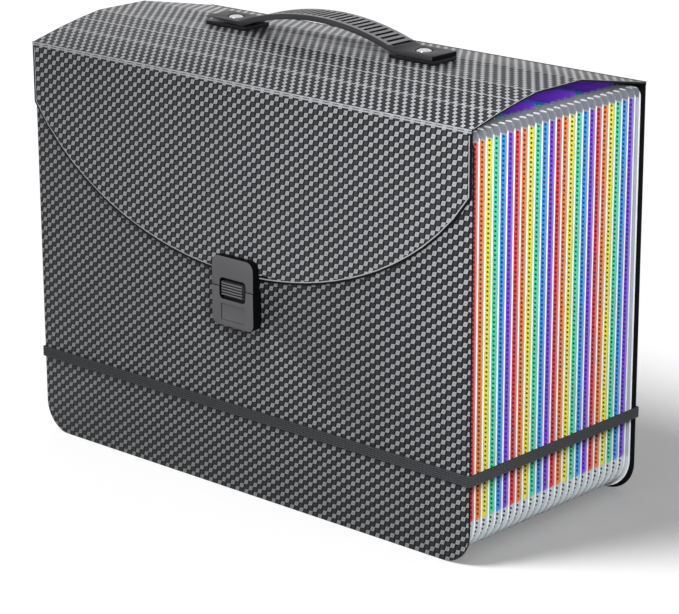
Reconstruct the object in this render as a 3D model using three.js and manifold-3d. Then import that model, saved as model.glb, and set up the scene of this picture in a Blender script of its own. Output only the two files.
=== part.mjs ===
// Accordion file organizer: a letter-size case with twenty-four pockets.
// Two stiff covers hold a pleated film bellows between them. A lid hinges on the rear cover, a flap
// hinges on the lid, and a snap lock on the front cover holds the flap.
// Millimetres. +X runs along the front to the right, the front faces -Y, and +Z is up.
import * as THREE from 'three';
import * as BufferGeometryUtils from 'three/addons/utils/BufferGeometryUtils.js';
import Module from 'manifold-3d';

const wasm = await Module();
wasm.setup();

// Clearance between pieces that touch
const gap = 0.3;

// Straight steps in a round: a small rod, a pin, a cover's corner, a small corner and the strap's arch
const roundSides = 14;
const pinSides = 12;
const cornerSteps = 6;
const smallCornerSteps = 4;
const archSteps = 20;

// Covers, lid and flap: one creased polypropylene sheet and a loose front cover
const width = 330;
const depth = 148;
const creaseHeight = 237.8;
const coverSheet = 1.2;
const lidSheet = 1.2;
const flapSheet = 1.2;
const coverCorner = 18;
const frontCoverDrop = 5;
const frontCoverTopCorner = 6;

// Lid folds, each by its distance in from a crease and its rise over it
const frontFoldIn = 22.4;
const frontFoldRise = 5.5;
const middleFoldIn = 37.8;
const middleFoldRise = 8.6;
const ridgeFrontIn = 53;
const ridgeRearIn = 57.7;
const ridgeRise = 11.1;

// Flap's lower edge is part of an ellipse that reaches past the flap's sides
const flapLength = 109.3;
const flapCurveOverhang = 18;
const flapCurveHeight = 130;
const flapCurveSteps = 32;

// Pleated film bellows
const pleats = 25;
const filmSheet = 0.4;
const filmInset = 4;
const filmFloor = 2;
const filmDrop = 3.3;
const filmCorner = 18;
const fingerCorner = 4;
const pleatDepth = 15;
const finDepth = 6;
const flangeInset = 3;
const filmCornerSteps = 4;

// Dividers, one to each pleat but the first
const dividerSheet = 0.5;
const dividerInset = 1.5;
const dividerDrop = 9.3;
const dividerChamfer = 19;
const tabRise = 7.5;
const tabWidth = 46;
const tabPitch = 50;
const tabChamfer = 2;
const tabColours = ['#c83c41', '#e18246', '#f0e646', '#46c8a0', '#3c8cd7', '#7346d2'];
const colourNames = ['red', 'orange', 'yellow', 'green', 'blue', 'purple'];

// Elastic band round the covers
const bandBottom = 46;
const bandWidth = 6;
const bandThickness = 1.2;
const bandRibs = 5;
const bandGroove = 0.3;

// Carrying handle
const handleLength = 172;
const handleWidth = 20;
const handleY = -0.9;
const handleApex = 15.9;
const strapThickness = 3.1;
const plateLength = 29;
const plateThickness = 2.4;
const plateCorner = 0.8;
const strapShoulder = 3;
const baseHeight = 2.2;
const baseReach = 3;
const gripFieldWidth = 15;
const gripPitch = 4.3;
const gripSlot = 2;
const gripDepth = 0.5;
const gripRibs = 26;
const rivetFromEnd = 15;
const rivetShank = 2;
const rivetHead = 4.3;
const rivetHeadHeight = 1.2;
const rivetSeatRadius = 5;
const rivetSeatDepth = 0.8;
const rivetDomeSteps = 4;
const rivetTail = 3.4;
const rivetTailHeight = 0.8;
const washerRadius = 6;
const washerThickness = 0.9;

// Snap lock, with heights measured down or up from the tip of the flap
const lockWidth = 31.4;
const lockBelowTip = 28.4;
const lockAboveTip = 11.4;
const seamBelowTip = 6.1;
const lockProud = 5.5;
const lockLowerCorner = 4;
const lockUpperCorner = 5;
const windowWidth = 20;
const windowCorner = 2.5;
const windowBottomBelowTip = 13.1;
const windowTopBelowTip = 0.9;
const pocketFloorDepth = 5.5;
const buttonWidth = 16.4;
const buttonTopBelowTip = 2.8;
const buttonTravel = 2;
const buttonLowerDepth = 2;
const buttonFlange = 2.6;
const hoodThickness = 1.1;
const hoodHeight = 2.8;
const buttonRibs = 5;
const buttonRibPitch = 1.6;
const buttonRibHeight = 0.8;
const buttonRibProud = 0.5;
const lipWidth = 8;
const lipThickness = 1.4;
const boreFloorBelowTip = 23.5;
const boreWidth = 4.4;
const springRadius = 1.9;
const springWire = 0.5;
const springTurns = 4;
const springSteps = 40;
const springSides = 5;
const stemRadius = 0.9;
const panelWidth = 17.6;
const panelHeight = 9.5;
const panelFromBottom = 3.3;
const panelDepth = 0.4;
const pinRadius = 1.5;
const pinDepth = 2.2;
const strikePinX = 10;
const strikePinAboveTip = 5.5;
const backplatePinX = 12;
const backplatePinBelowTip = 18.5;
const backplateWidth = 28;
const backplateHeight = 12;
const backplateThickness = 0.8;
const backplateCorner = 2;

// Planes that follow from the sizes above
const flapOuter = -depth / 2;
const flapInner = flapOuter + flapSheet;
const frontOuter = flapInner + gap;
const frontInner = frontOuter + coverSheet;
const rearOuter = depth / 2;
const rearInner = rearOuter - coverSheet;
const sheetTop = creaseHeight - lidSheet - gap;
const ridgeTop = creaseHeight + ridgeRise;
const ridgeUnder = ridgeTop - lidSheet;
const pitch = (rearInner - frontInner) / pleats;
const crestHalf = width / 2 - filmInset;
const filmTop = creaseHeight - filmDrop;
const pocketHalf = dividerSheet / 2 + gap;
const finHalf = pocketHalf + filmSheet;
const flapTip = creaseHeight - flapLength;
const lockFace = flapOuter - lockProud;
const bodyBack = frontOuter - gap;
const strikeBack = flapOuter - gap;
const lockBottom = flapTip - lockBelowTip;
const lockTop = flapTip + lockAboveTip;
const lockSeam = flapTip - seamBelowTip;
const windowBottom = flapTip - windowBottomBelowTip;
const windowTop = flapTip - windowTopBelowTip;
const buttonTop = flapTip - buttonTopBelowTip;
const boreFloor = flapTip - boreFloorBelowTip;
const panelBottom = lockBottom + panelFromBottom;
const panelTop = panelBottom + panelHeight;
const strikePinZ = flapTip + strikePinAboveTip;
const backplatePinZ = flapTip - backplatePinBelowTip;

const pleatY = (index) => frontInner + (index + 0.5) * pitch;

// Materials, with the colour, roughness and metalness of the real finish
const sheetMaterial = new THREE.MeshStandardMaterial({ color: '#4c4d50', roughness: 0.42 });
const innerSheetMaterial = new THREE.MeshStandardMaterial({ color: '#1c1c1e', roughness: 0.5 });
const filmMaterial = new THREE.MeshStandardMaterial({ color: '#cdd6de', roughness: 0.35 });
const mouldedMaterial = new THREE.MeshStandardMaterial({ color: '#2b2b2e', roughness: 0.45 });
const lockMaterial = new THREE.MeshStandardMaterial({ color: '#5f6063', roughness: 0.4 });
const elasticMaterial = new THREE.MeshStandardMaterial({ color: '#303134', roughness: 0.8 });
const steelMaterial = new THREE.MeshStandardMaterial({ color: '#c8c8ca', roughness: 0.25, metalness: 1 });

// A frame that draws in the XZ plane and extrudes towards -Y
const facingFront = new THREE.Matrix4().makeBasis(
  new THREE.Vector3(1, 0, 0), new THREE.Vector3(0, 0, 1), new THREE.Vector3(0, -1, 0));
// A frame that draws in the YZ plane and extrudes towards +X
const facingSide = new THREE.Matrix4().makeBasis(
  new THREE.Vector3(0, 1, 0), new THREE.Vector3(0, 0, 1), new THREE.Vector3(1, 0, 0));

function extrude(shape, length, curveSegments = cornerSteps) {
  return new THREE.ExtrudeGeometry(shape, { depth: length, bevelEnabled: false, curveSegments });
}

// A plate drawn in the XZ plane, between two values of y
function plateAcrossY(shape, fromY, toY, curveSegments) {
  return extrude(shape, toY - fromY, curveSegments).applyMatrix4(facingFront).translate(0, toY, 0);
}

// A bar drawn in the YZ plane, centred on x = 0
function barAlongX(shape, length) {
  return extrude(shape, length).applyMatrix4(facingSide).translate(-length / 2, 0, 0);
}

function polygon(points) {
  return new THREE.Shape(points.map(([a, b]) => new THREE.Vector2(a, b)));
}

// A box between two corners
function block(x0, x1, y0, y1, z0, z1) {
  const size = [x1 - x0, y1 - y0, z1 - z0];
  return new THREE.BoxGeometry(...size).translate((x0 + x1) / 2, (y0 + y1) / 2, (z0 + z1) / 2);
}

// A rectangle with its own radius at the lower corners and at the upper ones
function roundedRectangle(x0, x1, z0, z1, lower, upper) {
  const shape = new THREE.Shape();
  shape.moveTo(x0 + lower, z0);
  shape.lineTo(x1 - lower, z0);
  if (lower > 0) shape.absarc(x1 - lower, z0 + lower, lower, -Math.PI / 2, 0, false);
  shape.lineTo(x1, z1 - upper);
  if (upper > 0) shape.absarc(x1 - upper, z1 - upper, upper, 0, Math.PI / 2, false);
  shape.lineTo(x0 + upper, z1);
  if (upper > 0) shape.absarc(x0 + upper, z1 - upper, upper, Math.PI / 2, Math.PI, false);
  shape.lineTo(x0, z0 + lower);
  if (lower > 0) shape.absarc(x0 + lower, z0 + lower, lower, Math.PI, 1.5 * Math.PI, false);
  return shape;
}

// A solid for cutting and joining, from a closed three.js geometry
function solid(geometry) {
  const bare = geometry.clone();
  bare.deleteAttribute('normal');
  bare.deleteAttribute('uv');
  const merged = BufferGeometryUtils.mergeVertices(bare, 1e-4);
  return new wasm.Manifold(new wasm.Mesh({
    numProp: 3,
    vertProperties: new Float32Array(merged.attributes.position.array),
    triVerts: new Uint32Array(merged.index.array),
  }));
}

function geometryOf(manifold) {
  const mesh = manifold.getMesh();
  const geometry = new THREE.BufferGeometry();
  geometry.setAttribute('position', new THREE.BufferAttribute(new Float32Array(mesh.vertProperties), 3));
  geometry.setIndex(new THREE.BufferAttribute(new Uint32Array(mesh.triVerts), 1));
  geometry.computeVertexNormals();
  return geometry;
}

function cut(body, ...tools) {
  return geometryOf(tools.reduce((rest, tool) => rest.subtract(solid(tool)), solid(body)));
}

function join(body, ...additions) {
  return geometryOf(additions.reduce((whole, piece) => whole.add(solid(piece)), solid(body)));
}

// A round bar between two heights, or between two values of y
function uprightRod(x, y, radius, z0, z1, sides = roundSides) {
  const rod = new THREE.CylinderGeometry(radius, radius, z1 - z0, sides);
  return rod.rotateX(Math.PI / 2).translate(x, y, (z0 + z1) / 2);
}

function crosswiseRod(x, z, radius, y0, y1, sides = pinSides) {
  return new THREE.CylinderGeometry(radius, radius, y1 - y0, sides).translate(x, (y0 + y1) / 2, z);
}

// A section swept through a row of frames. The section's two axes are each frame's first two axes.
function sweep(anyOrder, frames, closed) {
  const clockwise = THREE.ShapeUtils.isClockWise(anyOrder.map(([a, b]) => new THREE.Vector2(a, b)));
  const section = clockwise ? [...anyOrder].reverse() : anyOrder;
  const count = section.length;
  const positions = frames.flatMap((frame) => section.flatMap(([a, b]) =>
    new THREE.Vector3(a, b, 0).applyMatrix4(frame).toArray()));
  const index = [];
  const spans = closed ? frames.length : frames.length - 1;
  for (let span = 0; span < spans; span += 1) {
    const here = span * count;
    const there = ((span + 1) % frames.length) * count;
    for (let side = 0; side < count; side += 1) {
      const next = (side + 1) % count;
      index.push(here + side, here + next, there + next, here + side, there + next, there + side);
    }
  }
  if (!closed) {
    const outline = section.map(([a, b]) => new THREE.Vector2(a, b));
    const end = (frames.length - 1) * count;
    for (const [i, j, k] of THREE.ShapeUtils.triangulateShape(outline, [])) {
      index.push(i, k, j, end + i, end + j, end + k);
    }
  }
  const geometry = new THREE.BufferGeometry();
  geometry.setAttribute('position', new THREE.Float32BufferAttribute(positions, 3));
  geometry.setIndex(index);
  return facingOut(geometry);
}

// Turns a closed geometry's faces outward where its signed volume is negative
function facingOut(geometry) {
  const place = geometry.attributes.position;
  const index = geometry.index.array;
  const corner = (i) => new THREE.Vector3().fromBufferAttribute(place, index[i]);
  let volume = 0;
  for (let i = 0; i < index.length; i += 3) {
    volume += corner(i).dot(corner(i + 1).cross(corner(i + 2)));
  }
  if (volume < 0) {
    for (let i = 0; i < index.length; i += 3) {
      [index[i], index[i + 1]] = [index[i + 1], index[i]];
    }
  }
  geometry.computeVertexNormals();
  return geometry;
}

// Rear cover: a flat sheet with round lower corners
function rearCover() {
  const outline = roundedRectangle(-width / 2, width / 2, 0, sheetTop, coverCorner, 0);
  return plateAcrossY(outline, rearInner, rearOuter);
}

// Front cover: a little lower than the flap's crease, and pierced for the lock's two pins
function frontCover() {
  const top = creaseHeight - frontCoverDrop;
  const outline = roundedRectangle(-width / 2, width / 2, 0, top, coverCorner, frontCoverTopCorner);
  for (const x of [-backplatePinX, backplatePinX]) {
    outline.holes.push(new THREE.Path().absarc(x, backplatePinZ, pinRadius + gap, 0, 2 * Math.PI, true));
  }
  return plateAcrossY(outline, frontOuter, frontInner);
}

// The lid's outer line in the YZ plane, from the rear crease to the front one
function lidLine() {
  return [
    [rearOuter, creaseHeight],
    [rearOuter - ridgeRearIn, ridgeTop],
    [flapOuter + ridgeFrontIn, ridgeTop],
    [flapOuter + middleFoldIn, creaseHeight + middleFoldRise],
    [flapOuter + frontFoldIn, creaseHeight + frontFoldRise],
    [flapOuter, creaseHeight],
  ];
}

// The same line, moved inward by the sheet's thickness
function offsetLine(line, distance) {
  const normals = line.slice(1).map(([y, z], i) => {
    const run = new THREE.Vector2(y - line[i][0], z - line[i][1]).normalize();
    return new THREE.Vector2(-run.y, run.x);
  });
  return line.map(([y, z], i) => {
    const before = normals[Math.max(i - 1, 0)];
    const after = normals[Math.min(i, normals.length - 1)];
    const half = before.clone().add(after).normalize();
    const reach = distance / half.dot(before);
    return [y + half.x * reach, z + half.y * reach];
  });
}

// Lid: one bent sheet with four folds, drilled for the handle's rivets
function lidTop() {
  const outer = lidLine();
  const inner = offsetLine(outer, lidSheet);
  const sheet = barAlongX(polygon([...outer, ...inner.reverse()]), width);
  return cut(sheet, ...rivetHoles(ridgeUnder - lidSheet, ridgeTop + lidSheet));
}

// Flap: hangs from the lid's front crease, with a curved lower edge
function flapEdge(x) {
  const share = 1 - Math.sqrt(1 - (x / (width / 2 + flapCurveOverhang)) ** 2);
  return flapTip + flapCurveHeight * share;
}

function lidFlap() {
  const half = width / 2;
  const curve = Array.from({ length: flapCurveSteps + 1 }, (_, i) => -half + (width * i) / flapCurveSteps);
  const outline = polygon([...curve.map((x) => [x, flapEdge(x)]), [half, sheetTop], [-half, sheetTop]]);
  for (const x of [-strikePinX, strikePinX]) {
    outline.holes.push(new THREE.Path().absarc(x, strikePinZ, pinRadius + gap, 0, 2 * Math.PI, true));
  }
  return plateAcrossY(outline, flapOuter, flapInner);
}

// The film's section: depth in from the crests, against y.
// Its outer side runs from front to rear over every fin, and its pocket side comes back.
function filmSection() {
  const valley = pleatDepth + filmSheet;
  const front = frontInner + gap;
  const rear = rearInner - gap;
  const airSide = [[flangeInset, front + filmSheet], [pleatDepth, front + filmSheet]];
  const pocketSide = [[flangeInset, front], [valley, front], [valley, front + 2 * filmSheet]];
  for (let i = 0; i < pleats; i += 1) {
    const y = pleatY(i);
    const valleyY = y + pitch / 2;
    airSide.push([finDepth, y - finHalf], [0, y - finHalf], [0, y + finHalf], [finDepth, y + finHalf]);
    pocketSide.push([finDepth, y - pocketHalf], [dividerInset - gap, y - pocketHalf]);
    pocketSide.push([dividerInset - gap, y + pocketHalf], [finDepth, y + pocketHalf]);
    if (i < pleats - 1) {
      airSide.push([pleatDepth, valleyY]);
      pocketSide.push([valley, valleyY - filmSheet], [valley, valleyY + filmSheet]);
    }
  }
  airSide.push([pleatDepth, rear - filmSheet], [flangeInset, rear - filmSheet]);
  pocketSide.push([valley, rear - 2 * filmSheet], [valley, rear], [flangeInset, rear]);
  return [...airSide, ...pocketSide.reverse()];
}

// A frame on the crests' line: its first axis points into the case, its second along +Y
function crestFrame(x, z, inwardX, inwardZ) {
  const inward = new THREE.Vector3(inwardX, 0, inwardZ);
  const along = new THREE.Vector3(0, 1, 0);
  const frame = new THREE.Matrix4().makeBasis(inward, along, inward.clone().cross(along));
  return frame.setPosition(x, 0, z);
}

// Side gusset: twenty-five welded fins that run down one side and round its lower corner
function sideGusset(side) {
  const centreX = crestHalf - filmCorner;
  const centreZ = filmFloor + filmCorner;
  const frames = [crestFrame(side * crestHalf, filmTop, -side, 0)];
  for (let step = 0; step <= filmCornerSteps; step += 1) {
    const angle = (step / filmCornerSteps) * (Math.PI / 2);
    const outX = side * Math.cos(angle);
    const outZ = -Math.sin(angle);
    frames.push(crestFrame(side * centreX + filmCorner * outX, centreZ + filmCorner * outZ, -outX, -outZ));
  }
  const pleated = sweep(filmSection(), frames, false);
  const fingers = roundedRectangle(-crestHalf, crestHalf, filmFloor - gap, filmTop, 0, fingerCorner);
  const limit = plateAcrossY(fingers, frontInner, rearInner, smallCornerSteps);
  return geometryOf(solid(pleated).intersect(solid(limit)));
}

// Bottom gusset: the same pleats, straight along the floor of the case
function bottomGusset() {
  const half = crestHalf - filmCorner - gap;
  return sweep(filmSection(), [crestFrame(half, filmFloor, 0, 1), crestFrame(-half, filmFloor, 0, 1)], false);
}

// Divider: a coloured sheet whose edges sit in one pleat's fins, with a tab at one of six places
function divider(index) {
  const half = crestHalf - dividerInset;
  const bottom = filmFloor + dividerInset;
  const top = creaseHeight - dividerDrop;
  const places = tabColours.length;
  const centre = ((index % places) - (places - 1) / 2) * tabPitch;
  const tabLeft = centre - tabWidth / 2;
  const tabRight = centre + tabWidth / 2;
  const outline = polygon([
    [-half + dividerChamfer, bottom],
    [half - dividerChamfer, bottom],
    [half, bottom + dividerChamfer],
    [half, top],
    [tabRight, top],
    [tabRight - tabChamfer, top + tabRise],
    [tabLeft + tabChamfer, top + tabRise],
    [tabLeft, top],
    [-half, top],
    [-half, bottom + dividerChamfer],
  ]);
  const y = pleatY(index + 1);
  return plateAcrossY(outline, y - dividerSheet / 2, y + dividerSheet / 2);
}

// Elastic band: a ribbed strip round both covers
function elasticBand() {
  const section = [[0, bandBottom], [0, bandBottom + bandWidth]];
  for (let i = bandRibs; i >= 0; i -= 1) {
    const z = bandBottom + (bandWidth * i) / bandRibs;
    section.push([bandThickness - bandGroove, z]);
    if (i > 0) section.push([bandThickness, z - bandWidth / bandRibs / 2]);
  }
  const corners = [[1, frontOuter], [1, rearOuter], [-1, rearOuter], [-1, frontOuter]];
  const frames = corners.flatMap(([side, y], corner) =>
    Array.from({ length: smallCornerSteps }, (_, step) => {
      const angle = (corner - 1 + step / (smallCornerSteps - 1)) * (Math.PI / 2);
      const out = new THREE.Vector3(Math.cos(angle), Math.sin(angle), 0);
      const up = new THREE.Vector3(0, 0, 1);
      const frame = new THREE.Matrix4().makeBasis(out, up, out.clone().cross(up));
      return frame.setPosition(side * width / 2 + gap * out.x, y + gap * out.y, 0);
    }));
  return sweep(section, frames, true);
}

// Handle heights and rivet places
const baseBottom = ridgeTop + gap;
const plateBottom = baseBottom + baseHeight + gap;
const plateTop = plateBottom + plateThickness;
const strapTop = ridgeTop + handleApex;
const rivetX = handleLength / 2 - rivetFromEnd;

function rivetHoles(z0, z1) {
  return [-rivetX, rivetX].map((x) => uprightRod(x, handleY, rivetShank + gap, z0, z1));
}

// The radius and centre height of an arc from its half chord, its end height and its top
function archOf(halfChord, endZ, topZ) {
  const rise = topZ - endZ;
  const radius = (halfChord ** 2 + rise ** 2) / (2 * rise);
  return { radius, centreZ: topZ - radius, angle: Math.asin(halfChord / radius) };
}

// Handle: two flat end plates and an arched strap in one moulding, with grip ribs across its top
function handle() {
  const half = handleLength / 2;
  const inner = half - plateLength;
  const outer = inner + strapShoulder;
  const under = archOf(inner, plateBottom, strapTop - strapThickness);
  const over = archOf(outer, plateTop, strapTop);
  const upright = Math.PI / 2;
  const side = new THREE.Shape();
  side.moveTo(-half, plateBottom);
  side.absarc(0, under.centreZ, under.radius, upright + under.angle, upright - under.angle, true);
  side.lineTo(half, plateBottom);
  side.lineTo(half, plateTop);
  side.absarc(0, over.centreZ, over.radius, upright - over.angle, upright + over.angle, false);
  side.lineTo(-half, plateTop);
  const y0 = handleY - handleWidth / 2;
  const y1 = handleY + handleWidth / 2;
  const bar = plateAcrossY(side, y0, y1, archSteps);
  const outline = roundedRectangle(-half, half, y0, y1, plateCorner, plateCorner);
  const plan = extrude(outline, 2 * handleApex, smallCornerSteps);
  const trimmed = geometryOf(solid(bar).intersect(solid(plan.translate(0, 0, ridgeTop))));
  const slots = Array.from({ length: gripRibs + 1 }, (_, i) => {
    const angle = ((i - gripRibs / 2) * gripPitch) / over.radius;
    const slot = new THREE.BoxGeometry(gripSlot, gripFieldWidth, 2 * gripDepth);
    return slot.translate(0, 0, over.radius).rotateY(angle).translate(0, handleY, over.centreZ);
  });
  const seats = [-rivetX, rivetX].map((x) =>
    uprightRod(x, handleY, rivetSeatRadius, plateTop - rivetSeatDepth, plateTop + gap));
  return cut(trimmed, ...slots, ...seats, ...rivetHoles(plateBottom - gap, plateTop + gap));
}

// Base block under one end plate
function handleBase(side) {
  const outer = handleLength / 2;
  const inner = outer - plateLength - baseReach;
  const y0 = handleY - handleWidth / 2;
  const y1 = handleY + handleWidth / 2;
  const left = side < 0 ? -outer : inner;
  const plan = roundedRectangle(left, left + outer - inner, y0, y1, plateCorner, plateCorner);
  const body = extrude(plan, baseHeight, smallCornerSteps).translate(0, 0, baseBottom);
  return cut(body, uprightRod(side * rivetX, handleY, rivetShank + gap, baseBottom - gap, plateBottom));
}

// Rivet: a low domed head in its seat, a shank through plate, base and lid, and a clenched tail
function handleRivet(side) {
  const headZ = plateTop - rivetSeatDepth + gap;
  const tailTop = ridgeUnder - gap - washerThickness - gap;
  const tailBottom = tailTop - rivetTailHeight;
  const profile = [[0, tailBottom], [rivetTail, tailBottom], [rivetTail, tailTop], [rivetShank, tailTop]];
  profile.push([rivetShank, headZ], [rivetHead, headZ]);
  for (let i = 1; i <= rivetDomeSteps; i += 1) {
    const angle = (i / rivetDomeSteps) * (Math.PI / 2);
    profile.push([rivetHead * Math.cos(angle), headZ + rivetHeadHeight * Math.sin(angle)]);
  }
  profile[profile.length - 1][0] = 0;
  const turned = new THREE.LatheGeometry(profile.map(([r, z]) => new THREE.Vector2(r, z)), roundSides);
  return geometryOf(solid(turned.rotateX(Math.PI / 2).translate(side * rivetX, handleY, 0)));
}

function handleWasher(side) {
  const top = ridgeUnder - gap;
  const disc = uprightRod(side * rivetX, handleY, washerRadius, top - washerThickness, top);
  const hole = uprightRod(side * rivetX, handleY, rivetShank + gap, top - 2 * washerThickness, top + gap);
  return cut(disc, hole);
}

// Lock sizes that the body, the button, the spring and the strike share
const pocketFloorY = lockFace + pocketFloorDepth;
const buttonBackY = pocketFloorY - gap;
const windowHalf = windowWidth / 2;
const hoodBottom = windowBottom - hoodHeight;
const bodyTop = lockSeam - gap / 2;
const buttonBottom = hoodBottom + gap + buttonTravel;
const boreY = pocketFloorY - boreWidth / 2;

// The lock's window, as a cutter from in front of the face to a value of y
function lockWindow(toY) {
  const corner = windowCorner;
  const outline = roundedRectangle(-windowHalf, windowHalf, windowBottom, windowTop, corner, corner);
  return plateAcrossY(outline, lockFace - gap, toY, smallCornerSteps);
}

// Lock body: the lower half, on the front cover, with the button's pocket and the spring's bore
function lockBody() {
  const half = lockWidth / 2;
  const outline = roundedRectangle(-half, half, lockBottom, bodyTop, lockLowerCorner, 0);
  const shell = plateAcrossY(outline, lockFace, bodyBack, smallCornerSteps);
  const behindFace = lockFace + hoodThickness;
  const bore = boreWidth / 2;
  const panel = panelWidth / 2;
  return cut(
    shell,
    lockWindow(pocketFloorY),
    block(-windowHalf, windowHalf, behindFace, pocketFloorY, hoodBottom, bodyTop + gap),
    block(-bore, bore, boreY - bore, pocketFloorY, boreFloor, hoodBottom + gap),
    block(-panel, panel, lockFace - gap, lockFace + panelDepth, panelBottom, panelTop),
    ...[-backplatePinX, backplatePinX].map((x) =>
      crosswiseRod(x, backplatePinZ, pinRadius + gap, bodyBack - pinDepth - gap, bodyBack + gap)),
  );
}

// Strike: the upper half, staked to the flap, with the upper part of the window through it
function lockStrike() {
  const half = lockWidth / 2;
  const outline = roundedRectangle(-half, half, lockSeam + gap / 2, lockTop, 0, lockUpperCorner);
  const plate = plateAcrossY(outline, lockFace, strikeBack, smallCornerSteps);
  const pins = [-strikePinX, strikePinX].map((x) =>
    crosswiseRod(x, strikePinZ, pinRadius, strikeBack - gap, flapInner - gap));
  return join(cut(plate, lockWindow(strikeBack + gap)), ...pins);
}

// Button: a ribbed wedge that slides down under the body's hood, with a guide flange behind it,
// a catch lip on top and a stem for the spring
function lockButton() {
  const lowerFrontY = lockFace + buttonLowerDepth;
  const wedge = polygon([[buttonBackY, buttonBottom], [buttonBackY, buttonTop], [lockFace, buttonTop],
    [lowerFrontY, buttonBottom]]);
  const ribHalf = buttonWidth / 2 - gap;
  const ribs = Array.from({ length: buttonRibs }, (_, i) => {
    const z = buttonTop - buttonRibHeight / 2 - i * buttonRibPitch;
    return block(-ribHalf, ribHalf, lockFace - buttonRibProud, lowerFrontY, z - buttonRibHeight, z);
  });
  const flangeHalf = windowHalf - gap;
  const flange = block(-flangeHalf, flangeHalf, buttonBackY - buttonFlange, buttonBackY,
    buttonBottom, bodyTop - gap);
  const lip = block(-lipWidth / 2, lipWidth / 2, buttonBackY - lipThickness, buttonBackY,
    buttonTop - gap, windowTop - gap);
  const stem = uprightRod(0, boreY, stemRadius, boreFloor + gap + buttonTravel, buttonBottom + gap, pinSides);
  return join(barAlongX(wedge, buttonWidth), ...ribs, flange, lip, stem);
}

// Spring: an open coil round the button's stem, on the floor of the bore
function lockSpring() {
  const radius = springRadius - springWire / 2;
  const bottom = boreFloor + gap + springWire / 2;
  const top = buttonBottom - gap - springWire / 2;
  const section = Array.from({ length: springSides }, (_, i) => {
    const angle = (i / springSides) * 2 * Math.PI;
    return [(springWire / 2) * Math.cos(angle), (springWire / 2) * Math.sin(angle)];
  });
  const frames = Array.from({ length: springSteps + 1 }, (_, i) => {
    const angle = (i / springSteps) * springTurns * 2 * Math.PI;
    const out = new THREE.Vector3(Math.cos(angle), Math.sin(angle), 0);
    const up = new THREE.Vector3(0, 0, 1);
    const frame = new THREE.Matrix4().makeBasis(out, up, out.clone().cross(up));
    const z = bottom + ((top - bottom) * i) / springSteps;
    return frame.setPosition(radius * out.x, boreY + radius * out.y, z);
  });
  return sweep(section, frames, false);
}

// Back plate: inside the front cover, with two pins through it into the lock body
function lockBackplate() {
  const y0 = frontInner + gap;
  const half = backplateWidth / 2;
  const z0 = backplatePinZ - backplateHeight / 2;
  const corner = backplateCorner;
  const outline = roundedRectangle(-half, half, z0, z0 + backplateHeight, corner, corner);
  const plate = plateAcrossY(outline, y0, y0 + backplateThickness, smallCornerSteps);
  const pins = [-backplatePinX, backplatePinX].map((x) =>
    crosswiseRod(x, backplatePinZ, pinRadius, bodyBack - pinDepth, y0 + backplateThickness / 2));
  return join(plate, ...pins);
}

function piece(name, geometry, material) {
  const mesh = new THREE.Mesh(geometry, material);
  mesh.name = name;
  return mesh;
}

function dividers() {
  return Array.from({ length: pleats - 1 }, (_, index) => {
    const place = index % tabColours.length;
    const material = new THREE.MeshStandardMaterial({ color: tabColours[place], roughness: 0.5 });
    const number = String(index + 1).padStart(2, '0');
    return piece(`divider_${number}_${colourNames[place]}`, divider(index), material);
  });
}

const organizer = new THREE.Group();
organizer.name = 'accordion_file_organizer';
organizer.add(
  piece('rear_cover', rearCover(), sheetMaterial),
  piece('front_cover', frontCover(), sheetMaterial),
  piece('gusset_left', sideGusset(-1), filmMaterial),
  piece('gusset_right', sideGusset(1), filmMaterial),
  piece('gusset_bottom', bottomGusset(), filmMaterial),
  ...dividers(),
  piece('elastic_band', elasticBand(), elasticMaterial),
  piece('lock_body', lockBody(), lockMaterial),
  piece('lock_backplate', lockBackplate(), mouldedMaterial),
  piece('lock_spring', lockSpring(), steelMaterial),
  piece('lock_button', lockButton(), lockMaterial),
  piece('lock_strike', lockStrike(), lockMaterial),
  piece('lid_flap', lidFlap(), sheetMaterial),
  piece('lid_top', lidTop(), innerSheetMaterial),
  piece('handle', handle(), mouldedMaterial),
  piece('handle_base_left', handleBase(-1), mouldedMaterial),
  piece('handle_base_right', handleBase(1), mouldedMaterial),
  piece('handle_rivet_left', handleRivet(-1), steelMaterial),
  piece('handle_rivet_right', handleRivet(1), steelMaterial),
  piece('handle_washer_left', handleWasher(-1), steelMaterial),
  piece('handle_washer_right', handleWasher(1), steelMaterial),
);

// The origin is at the middle of the object's footprint, on the surface that it stands on
const reach = new THREE.Box3().setFromObject(organizer);
organizer.position.set(-(reach.min.x + reach.max.x) / 2, -(reach.min.y + reach.max.y) / 2, -reach.min.z);

export default organizer;
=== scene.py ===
# %% [markdown]
# An accordion file organizer, dressed for a studio picture.
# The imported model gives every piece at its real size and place, so this file only adds looks: the woven
# print on the sheets, frosted film over coloured dividers, moulded plastic, elastic and steel.
# Each step first says what the real thing is, and then builds its likeness.

# %% Load the fixed frame
import math

import bmesh
import bpy
from mathutils import Matrix, Vector


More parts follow.
